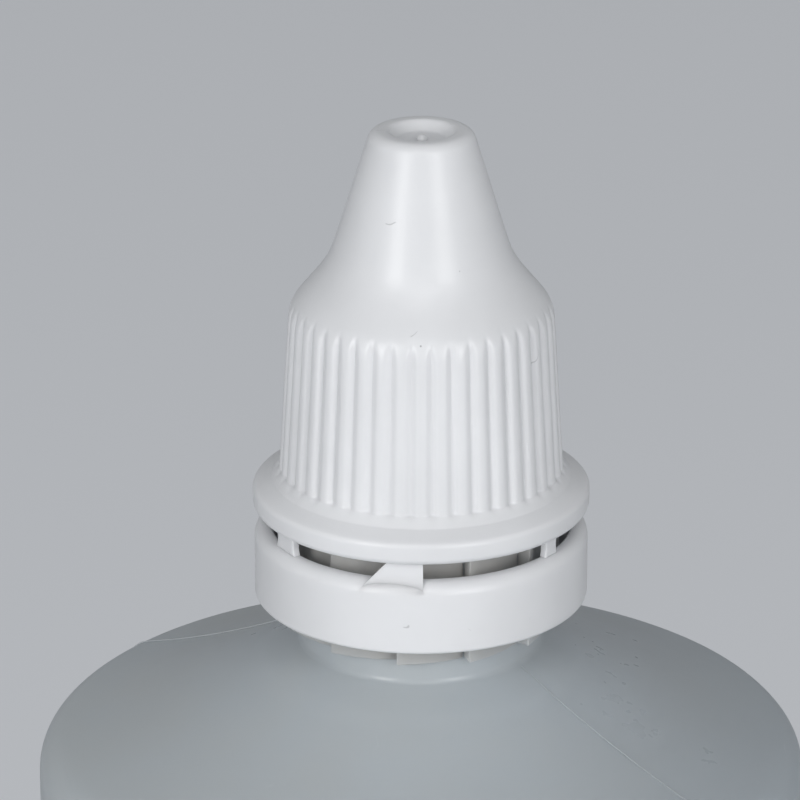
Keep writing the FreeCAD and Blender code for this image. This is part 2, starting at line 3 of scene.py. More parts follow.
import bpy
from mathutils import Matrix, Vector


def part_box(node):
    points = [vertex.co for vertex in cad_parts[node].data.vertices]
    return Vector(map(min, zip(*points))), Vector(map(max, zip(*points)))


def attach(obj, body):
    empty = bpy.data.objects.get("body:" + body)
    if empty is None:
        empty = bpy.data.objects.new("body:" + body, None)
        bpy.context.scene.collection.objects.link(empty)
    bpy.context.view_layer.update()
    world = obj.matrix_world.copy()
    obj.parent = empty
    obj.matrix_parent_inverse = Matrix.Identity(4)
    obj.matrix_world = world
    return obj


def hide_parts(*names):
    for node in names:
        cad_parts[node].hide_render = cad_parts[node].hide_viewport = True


bl_info = {
    "name": "Dropper Bottle",
    "version": (1, 0, 0),
    "blender": (4, 5, 0),
    "location": "View3D > Sidebar > Dropper Bottle",
    "description": "Models the bottle, its screw cap, tamper ring and bridges, and sets the stage",
    "category": "Object",
}

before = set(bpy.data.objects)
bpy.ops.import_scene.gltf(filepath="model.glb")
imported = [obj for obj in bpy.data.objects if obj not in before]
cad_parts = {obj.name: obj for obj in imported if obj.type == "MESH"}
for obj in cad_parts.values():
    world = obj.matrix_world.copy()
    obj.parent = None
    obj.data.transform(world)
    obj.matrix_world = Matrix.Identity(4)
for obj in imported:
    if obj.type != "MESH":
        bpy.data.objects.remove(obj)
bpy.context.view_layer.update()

import math

import bmesh
import bpy
from bpy.props import FloatProperty, FloatVectorProperty, IntProperty, PointerProperty
from mathutils import Euler, Matrix, Vector

MM = 0.001
CAP_LOW, CAP_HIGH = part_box("cap")
RING_LOW, RING_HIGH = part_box("tamper_ring")
BRIDGE_LOW, BRIDGE_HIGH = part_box("breakaway_bridges")
BOTTLE_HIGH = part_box("bottle")[1]
ROUND_STEP = 0.16  # radians between two rings of a rounded corner
MERGE = 0.002 * MM
THREAD_FADE = math.tau / 8  # how much of a turn a thread takes to run out
WHEEL_TEETH = 12
WHEEL_START = math.radians(-100)
NECK_FOOT = 80.2 * MM
WHEEL_FOOT = NECK_FOOT + 1.5 * MM
WHEEL_TOP = WHEEL_FOOT + 6.6 * MM
THREAD_PITCH = 3.0 * MM
THREAD_TURNS = 1.5
THREAD_START = BOTTLE_HIGH[2] - 2.2 * MM - THREAD_TURNS * THREAD_PITCH


# ---------------------------------------------------------------- settings

class ClosureSettings(bpy.types.PropertyGroup):
    rib_count: IntProperty(name="Ribs", description="Ribs round the cap's skirt", default=42, min=12)
    rib_depth: FloatProperty(
        name="Rib depth", description="Depth of the grooves between the ribs",
        default=0.27 * MM, min=0.0, unit="LENGTH", precision=5)
    white: FloatVectorProperty(
        name="White", description="Colour of the moulded closure",
        default=(0.775, 0.78, 0.795), size=3, subtype="COLOR", min=0.0, max=1.0)
    speck: FloatVectorProperty(
        name="Speck", description="Colour of the dust specks and scuffs",
        default=(0.16, 0.16, 0.17), size=3, subtype="COLOR", min=0.0, max=1.0)
    roughness: FloatProperty(
        name="Roughness", description="How matt the closure is", default=0.34, min=0.0, max=1.0)


class BottleSettings(bpy.types.PropertyGroup):
    seam_angle: FloatProperty(
        name="Seam angle", description="Where the mould's parting line runs, from +X",
        default=math.radians(-37), subtype="ANGLE")
    seam_radius: FloatProperty(
        name="Seam size", description="How far the parting line stands out",
        default=0.038 * MM, min=0.0, unit="LENGTH", precision=5)
    unevenness: FloatProperty(
        name="Unevenness", description="Depth of the shallow hollows of the blown wall",
        default=0.10 * MM, min=0.0, unit="LENGTH", precision=5)
    tint: FloatVectorProperty(
        name="Tint", description="Colour of the translucent wall",
        default=(0.47, 0.515, 0.55), size=3, subtype="COLOR", min=0.0, max=1.0)
    plug_tint: FloatVectorProperty(
        name="Plug tint", description="Colour of the dropper plug",
        default=(0.50, 0.54, 0.56), size=3, subtype="COLOR", min=0.0, max=1.0)
    roughness: FloatProperty(
        name="Roughness", description="How matt the bottle is", default=0.30, min=0.0, max=1.0)


class StageSettings(bpy.types.PropertyGroup):
    distance: FloatProperty(
        name="Camera distance", description="From the cap's flange to the camera",
        default=0.32, min=0.1, unit="LENGTH")
    elevation: FloatProperty(
        name="Camera elevation", description="How far the camera looks down",
        default=math.radians(21.95), subtype="ANGLE")
    lens: FloatProperty(
        name="Lens", description="Focal length on a 36 mm sensor, in millimetres", default=242.4, min=10)
    floor: FloatVectorProperty(
        name="Floor", description="Colour of the floor", default=(0.60, 0.615, 0.64), size=3,
        subtype="COLOR", min=0.0, max=1.0)


# ---------------------------------------------------------------- modelling helpers

def clear_selection():
    """Leaves edit mode and deselects everything."""
    if bpy.context.mode != "OBJECT":
        bpy.ops.object.mode_set(mode="OBJECT")
    bpy.ops.object.select_all(action="DESELECT")


def rounded(corners):
    """Rings of an outline: each corner is (radius, height, round), all in millimetres.

    A corner with a round becomes an arc that touches both of its sides.
    """
    rings = []
    for index, (radius, height, size) in enumerate(corners):
        point = Vector((radius, height))
        if not size or index in (0, len(corners) - 1):
            rings.append(point)
            continue
        back = (Vector(corners[index - 1][:2]) - point).normalized()
        ahead = (Vector(corners[index + 1][:2]) - point).normalized()
        half = back.angle(ahead) / 2
        reach = size / math.tan(half)
        centre = point + (back + ahead).normalized() * (size / math.sin(half))
        start = point + back * reach - centre
        turn = start.angle_signed(point + ahead * reach - centre)
        steps = max(2, math.ceil(abs(turn) / ROUND_STEP))
        for step in range(steps + 1):
            spoke = start.copy()
            spoke.rotate(Matrix.Rotation(-turn * step / steps, 2))
            rings.append(centre + spoke)
    return rings


def arc_rings(start, end, radius, count):
    """Rings along an arc that bulges to the left of the way from start to end."""
    start, end = Vector(start), Vector(end)
    chord = end - start
    side = Vector((-chord.y, chord.x)).normalized()
    reach = math.sqrt(radius ** 2 - (chord.length / 2) ** 2)
    centre = (start + end) / 2 - side * reach
    first, last = start - centre, end - centre
    turn = first.angle_signed(last)
    rings = []
    for step in range(count + 1):
        spoke = first.copy()
        spoke.rotate(Matrix.Rotation(-turn * step / count, 2))
        rings.append(centre + spoke)
    return rings


def refined(rings, low, high, step):
    """Adds rings to the long straight stretches between two heights."""
    result = [rings[0]]
    for here, there in zip(rings[:-1], rings[1:]):
        middle = (here.y + there.y) / 2
        if low < middle < high and (there - here).length > step:
            count = math.ceil((there - here).length / step)
            result += [here.lerp(there, part / count) for part in range(1, count)]
        result.append(there)
    return result


def start_piece(name):
    """Names the primitive just added and puts its place into its mesh."""
    piece = bpy.context.active_object
    piece.name = name
    piece.data.name = name
    bpy.ops.object.transform_apply(location=True, rotation=True, scale=True)
    return piece


def lathe(name, rings, columns, foot):
    """Turns an outline, given in millimetres above foot, once round the axis."""
    clear_selection()
    bpy.ops.mesh.primitive_circle_add(vertices=len(rings), radius=MM, location=(0, 0, foot))
    piece = start_piece(name)
    for vertex, ring in zip(piece.data.vertices, rings):
        vertex.co = (ring.x * MM, 0, foot + ring.y * MM)
    if (rings[0] - rings[-1]).length > 0.001:
        ends = {0, len(rings) - 1}
        for edge in piece.data.edges:
            edge.select = set(edge.vertices) == ends
        for vertex in piece.data.vertices:
            vertex.select = vertex.index in ends
        bpy.ops.object.mode_set(mode="EDIT")
        bpy.ops.mesh.select_mode(type="EDGE")
        bpy.ops.mesh.delete(type="EDGE")
        bpy.ops.object.mode_set(mode="OBJECT")
    turn = piece.modifiers.new("Turned", "SCREW")
    turn.axis = "Z"
    turn.angle = math.tau
    turn.steps = turn.render_steps = columns
    turn.use_merge_vertices = True
    turn.merge_threshold = 0.0001 * MM
    bpy.ops.object.modifier_apply(modifier=turn.name)
    bpy.ops.object.mode_set(mode="EDIT")
    bpy.ops.mesh.select_mode(type="VERT")
    bpy.ops.mesh.select_all(action="SELECT")
    bpy.ops.mesh.remove_doubles(threshold=MERGE)
    bpy.ops.mesh.dissolve_degenerate(threshold=0.0005 * MM)
    bpy.ops.mesh.select_all(action="SELECT")
    bpy.ops.mesh.normals_make_consistent(inside=False)
    bpy.ops.object.mode_set(mode="OBJECT")
    return piece


def press_in(piece, groups):
    """Draws groups of vertices towards the axis: each is a scale and the vertices it moves."""
    clear_selection()
    bpy.context.view_layer.objects.active = piece
    piece.select_set(True)
    bpy.ops.object.mode_set(mode="EDIT")
    bpy.ops.mesh.select_mode(type="VERT")
    for scale, indices in groups:
        bpy.ops.mesh.select_all(action="DESELECT")
        mesh = bmesh.from_edit_mesh(piece.data)
        mesh.verts.ensure_lookup_table()
        for index in indices:
            mesh.verts[index].select = True
        bpy.ops.transform.resize(value=(scale, scale, 1), center_override=(0, 0, 0))
    bpy.ops.object.mode_set(mode="OBJECT")


def smooth(piece, levels, angle=40):
    """Subdivides a piece if asked, and shades it smooth up to an angle."""
    clear_selection()
    bpy.context.view_layer.objects.active = piece
    piece.select_set(True)
    if levels:
        modifier = piece.modifiers.new("Smooth surface", "SUBSURF")
        modifier.levels = modifier.render_levels = levels
        bpy.ops.object.modifier_apply(modifier=modifier.name)
    bpy.ops.object.shade_smooth_by_angle(angle=math.radians(angle))


def plate(name, corners, low, high, bevel):
    """A flat shape with the given corners, raised from low to high, with soft edges."""
    clear_selection()
    bpy.ops.mesh.primitive_circle_add(
        vertices=len(corners), radius=MM, fill_type="NGON", location=(0, 0, low))
    piece = start_piece(name)
    for vertex, (across, along) in zip(piece.data.vertices, corners):
        vertex.co = (across, along, low)
    bpy.ops.object.mode_set(mode="EDIT")
    bpy.ops.mesh.select_all(action="SELECT")
    bpy.ops.mesh.extrude_region_move(TRANSFORM_OT_translate={"value": (0, 0, high - low)})
    bpy.ops.mesh.select_all(action="SELECT")
    bpy.ops.mesh.normals_make_consistent(inside=False)
    bpy.ops.object.mode_set(mode="OBJECT")
    soften(piece, bevel)
    return piece


def soften(piece, width, segments=3):
    """Rounds every sharp edge of a piece."""
    bevel = piece.modifiers.new("Soft edges", "BEVEL")
    bevel.width = width
    bevel.segments = segments
    bevel.limit_method = "ANGLE"
    bevel.angle_limit = math.radians(35)
    bpy.context.view_layer.objects.active = piece
    bpy.ops.object.modifier_apply(modifier=bevel.name)


def copies_round_axis(piece, count):
    """Copies a piece evenly round the axis and joins the copies to it."""
    copies = [piece]
    for number in range(1, count):
        copy = piece.copy()
        copy.data = piece.data.copy()
        copy.data.transform(Matrix.Rotation(math.tau * number / count, 4, "Z"))
        bpy.context.collection.objects.link(copy)
        copies.append(copy)
    return join(copies)


def join(pieces):
    """Joins pieces into the first one."""
    clear_selection()
    for piece in pieces:
        piece.select_set(True)
    bpy.context.view_layer.objects.active = pieces[0]
    bpy.ops.object.join()
    return pieces[0]


def polar(radius, angle):
    """A point at a radius in millimetres and an angle in radians."""
    return (radius * MM * math.cos(angle), radius * MM * math.sin(angle))


def thread(name, root, crest, start):
    """A screw thread whose section runs from root to crest, with run-out ends."""
    clear_selection()
    bpy.ops.mesh.primitive_circle_add(vertices=6, radius=MM, location=(root * MM, 0, start))
    piece = start_piece(name)
    depth = crest - root
    section = [(-0.3, -0.62), (0.0, -0.60), (0.93, -0.27), (0.93, 0.27), (0.0, 0.60), (-0.3, 0.62)]
    for vertex, (out, up) in zip(piece.data.vertices, section):
        vertex.co = ((root + out * depth) * MM, 0, start + up * MM)
    screw = piece.modifiers.new("Screw line", "SCREW")
    screw.axis = "Z"
    screw.angle = math.tau * THREAD_TURNS
    screw.screw_offset = THREAD_PITCH * THREAD_TURNS
    screw.steps = screw.render_steps = 120
    screw.use_normal_calculate = True
    bpy.ops.object.modifier_apply(modifier=screw.name)
    bpy.ops.object.mode_set(mode="EDIT")
    bpy.ops.mesh.select_all(action="DESELECT")
    bpy.ops.mesh.select_non_manifold(extend=False)
    bpy.ops.mesh.edge_face_add()
    bpy.ops.mesh.select_all(action="SELECT")
    bpy.ops.mesh.normals_make_consistent(inside=False)
    bpy.ops.object.mode_set(mode="OBJECT")
    fade_thread_ends(piece, root, start)
    smooth(piece, 0)
    return piece


def fade_thread_ends(piece, root, start):
    """Lets a thread's height run out over its first and last eighth of a turn."""
    total = math.tau * THREAD_TURNS
    for vertex in piece.data.vertices:
        angle = math.atan2(vertex.co.y, vertex.co.x) % math.tau
        turns = round((vertex.co.z - start) / THREAD_PITCH - angle / math.tau)
        travelled = angle + max(turns, 0) * math.tau
        left = min(travelled, total - travelled)
        if left < THREAD_FADE:
            radius = math.hypot(vertex.co.x, vertex.co.y)
            share = max(left / THREAD_FADE, 0.0) ** 0.5
            new_radius = root * MM + (radius - root * MM) * share
            vertex.co.x *= new_radius / radius
            vertex.co.y *= new_radius / radius


def settle(piece, body, node, material):
    """Hands a finished piece to the frame: its body, the node it stands for, its finish."""
    piece.data.materials.clear()
    piece.data.materials.append(material)
    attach(piece, body)
    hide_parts(node)


# ---------------------------------------------------------------- shader helpers

class Signal:
    """A shader value that can be used in sums like a number."""

    def __init__(self, finish, socket):
        self.finish, self.socket = finish, socket

    def maths(self, operation, *values):
        return self.finish.node("ShaderNodeMath", {"operation": operation}, values)

    def __add__(self, other):
        return self.maths("ADD", self, other)

    def __sub__(self, other):
        return self.maths("SUBTRACT", self, other)

    def __rsub__(self, other):
        return self.maths("SUBTRACT", other, self)

    def __mul__(self, other):
        return self.maths("MULTIPLY", self, other)

    def __gt__(self, other):
        return self.maths("GREATER_THAN", self, other)

    def __abs__(self):
        return self.maths("ABSOLUTE", self)

    __radd__ = __add__
    __rmul__ = __mul__


class Finish:
    """One material and the nodes that are added to it."""

    def __init__(self, name):
        self.material = bpy.data.materials.new(name)
        self.material.use_nodes = True
        self.tree = self.material.node_tree
        self.shader = self.tree.nodes["Principled BSDF"]
        self.place = self.node("ShaderNodeTexCoord", output="Object")

    def node(self, kind, settings=None, inputs=(), output=0):
        """Adds a node: its settings first, then its inputs, and gives one output."""
        node = self.tree.nodes.new(kind)
        for name, value in (settings or {}).items():
            setattr(node, name, value)
        pairs = inputs.items() if isinstance(inputs, dict) else enumerate(inputs)
        for key, value in pairs:
            self.feed(node.inputs[key], value)
        return Signal(self, node.outputs[output])

    def feed(self, socket, value):
        """Links a signal to a socket, or writes a number or colour on it."""
        if isinstance(value, Signal):
            self.tree.links.new(value.socket, socket)
        elif hasattr(value, "__len__") and socket.type == "RGBA":
            socket.default_value = (*value[:3], 1)
        else:
            socket.default_value = value

    def noise(self, scale, detail=2.0, place=None):
        return self.node("ShaderNodeTexNoise", None,
                         {"Vector": place or self.place, "Scale": scale, "Detail": detail})

    def stretched(self, scale, turn=(0, 0, 0)):
        """The object's coordinates, turned and then stretched."""
        return self.node("ShaderNodeMapping", None,
                         {"Vector": self.place, "Rotation": Euler(turn), "Scale": Vector(scale)})

    def mix(self, share, first, second):
        """A colour between two others."""
        node = self.tree.nodes.new("ShaderNodeMix")
        node.data_type = "RGBA"
        self.feed(node.inputs[0], share)
        self.feed(node.inputs[6], first)
        self.feed(node.inputs[7], second)
        return Signal(self, node.outputs[2])

    def soft_step(self, value, low, high):
        """0 below low, 1 above high, and a smooth rise between them."""
        return self.node("ShaderNodeMapRange", {"interpolation_type": "SMOOTHSTEP"},
                         {"Value": value, "From Min": low, "From Max": high})

    def specks(self, scale, size, keep):
        """Small dots, one at most in each cell, of differing sizes."""
        wobble = self.noise(scale * 6, 1.0)
        cells = self.tree.nodes.new("ShaderNodeTexVoronoi")
        self.feed(cells.inputs["Vector"], self.place)
        self.feed(cells.inputs["Scale"], scale)
        chance = self.node("ShaderNodeSeparateColor", None, [Signal(self, cells.outputs["Color"])])
        distance = Signal(self, cells.outputs["Distance"]) + (wobble - 0.5) * size
        return (1 - self.soft_step(distance, size * 0.35, size)) * (chance > 1 - keep)

    def hairs(self, scale, width, patch, keep, turn=(0, 0, 0), stretch=(1, 1, 1)):
        """Short curved hairlines: contour lines of a noise, kept in a few patches."""
        place = self.stretched(stretch, turn)
        line = abs(self.noise(scale, 1.0, place) - 0.5)
        patches = self.noise(patch, 0.0)
        return (1 - self.soft_step(line, width * 0.4, width)) * self.soft_step(patches, 1 - keep, 1.04 - keep)

    def bump(self, height, strength, distance, normal=None):
        inputs = {"Height": height, "Strength": strength, "Distance": distance}
        if normal is not None:
            inputs["Normal"] = normal
        return self.node("ShaderNodeBump", None, inputs)

    def shade(self, constants, **varying):
        """Sets the shader's constant sockets and links the ones that vary."""
        for name, value in constants.items():
            self.feed(self.shader.inputs[name], value)
        for name, value in varying.items():
            self.feed(self.shader.inputs[name.replace("_", " ").title()], value)
        return self.material


def closure_finish(settings):
    """Smooth white polypropylene with soft flow marks, dust specks and scuffs."""
    finish = Finish("White polypropylene")
    cloud = finish.noise(140, 3.0)
    flow = finish.noise(9, 2.0, finish.stretched((26, 26, 5)))
    peel = finish.noise(1500, 1.0)
    ripple = finish.noise(260, 2.0)
    specks = finish.specks(430, 0.045, 0.17)
    dots = finish.specks(900, 0.05, 0.04)
    hairs = finish.hairs(420, 0.006, 620, 0.22)
    dirt = finish.node("ShaderNodeMath", {"operation": "MAXIMUM"}, [specks * 0.75, dots * 0.6])
    dirt = finish.node("ShaderNodeMath", {"operation": "MAXIMUM"}, [dirt, hairs * 0.35])
    shaded = [value * 0.955 for value in settings.white]
    plain = finish.mix(finish.soft_step(cloud, 0.3, 0.7), settings.white, shaded)
    colour = finish.mix(dirt, plain, settings.speck)
    roughness = settings.roughness + (cloud - 0.5) * 0.10 + (flow - 0.5) * 0.08 + dirt * 0.25
    normal = finish.bump(ripple, 0.10, 0.06 * MM)
    normal = finish.bump(peel, 0.10, 0.006 * MM, normal)
    normal = finish.bump(dirt, 0.35, 0.02 * MM, normal)
    constants = {"IOR": 1.49, "Subsurface Weight": 0.35, "Subsurface Scale": 0.8 * MM,
                 "Subsurface Radius": (1.0, 1.0, 1.0), "Specular IOR Level": 0.5}
    return finish.shade(constants, base_color=colour, roughness=roughness, normal=normal)


def bottle_finish(settings, name="Natural polyethylene", tint=None, glow=0.45):
    """Milky natural polyethylene: cloudy, soft sheen, hairlines, pale and dark specks."""
    finish = Finish(name)
    tint = tint or settings.tint
    cloud = finish.noise(55, 3.0)
    streak = finish.noise(30, 3.0, finish.stretched((1, 1, 0.18)))
    peel = finish.noise(900, 2.0)
    wave = finish.noise(95, 1.0)
    dark = finish.specks(300, 0.04, 0.015)
    pale = finish.specks(330, 0.04, 0.08)
    hairs = finish.hairs(160, 0.003, 380, 0.20, (0.4, 0.2, 0.9), (1, 0.6, 1))
    fine = finish.hairs(330, 0.004, 260, 0.26, (0.9, 0.1, 0.2), (0.6, 1, 1))
    warm = (tint[0] * 1.02, tint[1] * 0.99, tint[2] * 0.95)
    plain = finish.mix(finish.soft_step(cloud, 0.32, 0.68), tint, warm)
    plain = finish.mix(finish.soft_step(streak, 0.45, 0.75) * 0.25, plain, [value * 0.88 for value in tint])
    # Darkens the wall's tint by up to 15 % towards +X, with a cloudy edge. What makes that side darker is not
    # known.
    across = finish.node("ShaderNodeSeparateXYZ", None, [finish.place])
    darker_towards_plus_x = finish.soft_step(across + (cloud - 0.5) * 8 * MM, 2 * MM, 24 * MM)
    plain = finish.mix(darker_towards_plus_x, plain, [value * 0.85 for value in tint])
    marked = finish.mix(hairs * 0.25 + fine * 0.15 + pale * 0.3, plain, (0.62, 0.66, 0.69))
    colour = finish.mix(dark * 0.4, marked, (0.10, 0.11, 0.12))
    roughness = settings.roughness + (cloud - 0.5) * 0.12 + (peel - 0.5) * 0.06
    normal = finish.bump(wave, 0.22, 0.35 * MM)
    normal = finish.bump(peel, 0.12, 0.012 * MM, normal)
    normal = finish.bump(hairs, 0.15, 0.008 * MM, normal)
    constants = {"IOR": 1.51, "Subsurface Weight": glow, "Subsurface Scale": 2.5 * MM,
                 "Subsurface Radius": (1.0, 1.05, 1.1), "Specular IOR Level": 0.5}
    return finish.shade(constants, base_color=colour, roughness=roughness, normal=normal)


def plug_finish(settings):
    """Milky polyethylene of the dropper plug, paler and finer than the bottle."""
    finish = Finish("Plug polyethylene")
    cloud = finish.noise(180, 3.0)
    peel = finish.noise(1400, 1.0)
    specks = finish.specks(700, 0.05, 0.05)
    plain = finish.mix(finish.soft_step(cloud, 0.3, 0.7), settings.plug_tint,
                       [value * 0.93 for value in settings.plug_tint])
    colour = finish.mix(specks * 0.5, plain, (0.2, 0.2, 0.2))
    roughness = settings.roughness + 0.04 + (cloud - 0.5) * 0.12
    normal = finish.bump(peel, 0.12, 0.008 * MM)
    constants = {"IOR": 1.51, "Subsurface Weight": 0.5, "Subsurface Scale": 1.5 * MM,
                 "Subsurface Radius": (1.0, 1.0, 1.05)}
    return finish.shade(constants, base_color=colour, roughness=roughness, normal=normal)


def floor_finish(settings):
    """Plain pale floor with the faintest grain."""
    finish = Finish("Pale floor")
    cloud = finish.noise(3, 3.0)
    colour = finish.mix(finish.soft_step(cloud, 0.3, 0.7), settings.floor,
                        [value * 0.985 for value in settings.floor])
    seen = finish.node("ShaderNodeLightPath", output="Is Camera Ray")
    lift = finish.mix(seen, (0, 0, 0), (0.16, 0.163, 0.17))
    return finish.shade({"Roughness": 0.7, "Specular IOR Level": 0.2, "Emission Strength": 1.0},
                        base_color=colour, emission_color=lift)


# ---------------------------------------------------------------- pieces

class DROPPER_OT_bottle(bpy.types.Operator):
    """Models the blown bottle, its ratchet wheel, neck thread and parting line"""
    bl_idname = "dropper.bottle"
    bl_label = "Bottle"

    def execute(self, context):
        settings = context.scene.bottle_settings
        material = bottle_finish(settings)
        thick = bottle_finish(settings, "Thick polyethylene", (0.48, 0.49, 0.495), 0.85)
        # The parting line's finish is a lighter tint than the wall's: a painted highlight along the ridge.
        painted_glint = bottle_finish(settings, "Parting line painted highlight", (0.56, 0.61, 0.64))
        pieces = ((self.wall(settings), material), (self.wheel(), thick), (self.seams(settings), painted_glint))
        for piece, look in pieces:
            settle(piece, "bottle", "bottle", look)
        screw = thread("neck_thread", 5.95, 6.55, THREAD_START)
        settle(screw, "bottle", "bottle", material)
        return {"FINISHED"}

    @staticmethod
    def outside(settings):
        """Rings of the outside, from the middle of the base up to the rim."""
        barrel = BOTTLE_HIGH[0] / MM - settings.seam_radius / MM
        base = rounded([(0, 1.3, 0), (12.0, 1.3, 2.5), (17.5, 0, 1.2), (barrel, 0, 3.2), (barrel, 20, 0)])
        shoulder = arc_rings((barrel, 73.5), (7.2, 80.2), 80, 16)
        edge = rounded([(barrel, 60, 0), (barrel, 73.5, 2.2), (*shoulder[4], 0)])
        neck = rounded([(*shoulder[-3], 0), (7.2, 80.2, 0.5), (7.2, 81.7, 0.15), (7.4, 81.7, 0),
                        (7.4, 88.3, 0.2), (5.95, 88.3, 0.2), (5.95, 99.2, 0.22),
                        (4.85, 99.2, 0.22), (4.85, 90, 0)])
        stem = [Vector((barrel, height)) for height in range(6, 71, 4)]
        return base[:-1] + stem + edge[1:-1] + shoulder[4:-3] + neck

    def wall(self, settings):
        """The blown wall, outside and inside, with shallow uneven hollows."""
        barrel = BOTTLE_HIGH[0] / MM - settings.seam_radius / MM - 1.1
        inside_shoulder = arc_rings((4.85, 79.1), (barrel, 72.4), 80, 10)
        inside = inside_shoulder + [Vector((barrel, height)) for height in (60, 40, 20, 6)]
        floor = rounded([(barrel, 6, 0), (barrel, 1.1, 2.0), (17.5, 1.1, 1.2), (12.0, 2.4, 2.5), (0, 2.4, 0)])
        rings = self.outside(settings) + inside + floor[1:]
        wall = lathe("bottle_wall", rings, 120, 0.0)
        smooth(wall, 1, 60)
        hollows = bpy.data.textures.new("Blown hollows", "CLOUDS")
        hollows.noise_scale = 16 * MM
        hollows.noise_depth = 1
        chosen = [vertex.index for vertex in wall.data.vertices
                  if math.hypot(vertex.co.x, vertex.co.y) > 10 * MM and vertex.co.z > 4 * MM]
        group = wall.vertex_groups.new(name="blown")
        group.add(chosen, 1.0, "REPLACE")
        displace = wall.modifiers.new("Hollows", "DISPLACE")
        displace.texture = hollows
        displace.texture_coords = "LOCAL"
        displace.strength = settings.unevenness
        displace.mid_level = 1.0
        displace.vertex_group = group.name
        bpy.ops.object.modifier_apply(modifier=displace.name)
        return wall

    @staticmethod
    def wheel():
        """The ratchet wheel: saw teeth with a radial step and a long ramp."""
        pitch = math.tau / WHEEL_TEETH
        ramp = [polar(8.3 - 0.85 * share, WHEEL_START + pitch * share) for share in (0, 0.33, 0.66, 0.98)]
        foot = [polar(7.1, WHEEL_START + pitch * share) for share in (0.98, 0.5, 0)]
        tooth = plate("ratchet_wheel", ramp + foot, WHEEL_FOOT, WHEEL_TOP, 0.10 * MM)
        wheel = copies_round_axis(tooth, WHEEL_TEETH)
        smooth(wheel, 0, 35)
        return wheel

    def seams(self, settings):
        """The hairline ridges that the two mould halves leave on opposite sides."""
        clear_selection()
        profile = [ring for ring in self.outside(settings) if ring.x > 7.3 and 0.5 < ring.y < 80.1]
        curve = bpy.data.curves.new("parting_line", "CURVE")
        curve.dimensions = "3D"
        curve.bevel_depth = settings.seam_radius
        curve.bevel_resolution = 2
        for side in (0, math.pi):
            spline = curve.splines.new("POLY")
            spline.points.add(len(profile) - 1)
            for point, ring in zip(spline.points, profile):
                inset = ring.x - settings.seam_radius / MM * 0.6
                across, along = polar(inset, settings.seam_angle + side)
                point.co = (across, along, ring.y * MM, 1)
        line = bpy.data.objects.new("parting_line", curve)
        bpy.context.collection.objects.link(line)
        line.select_set(True)
        bpy.context.view_layer.objects.active = line
        bpy.ops.object.convert(target="MESH")
        line = bpy.context.active_object
        smooth(line, 0, 80)
        return line


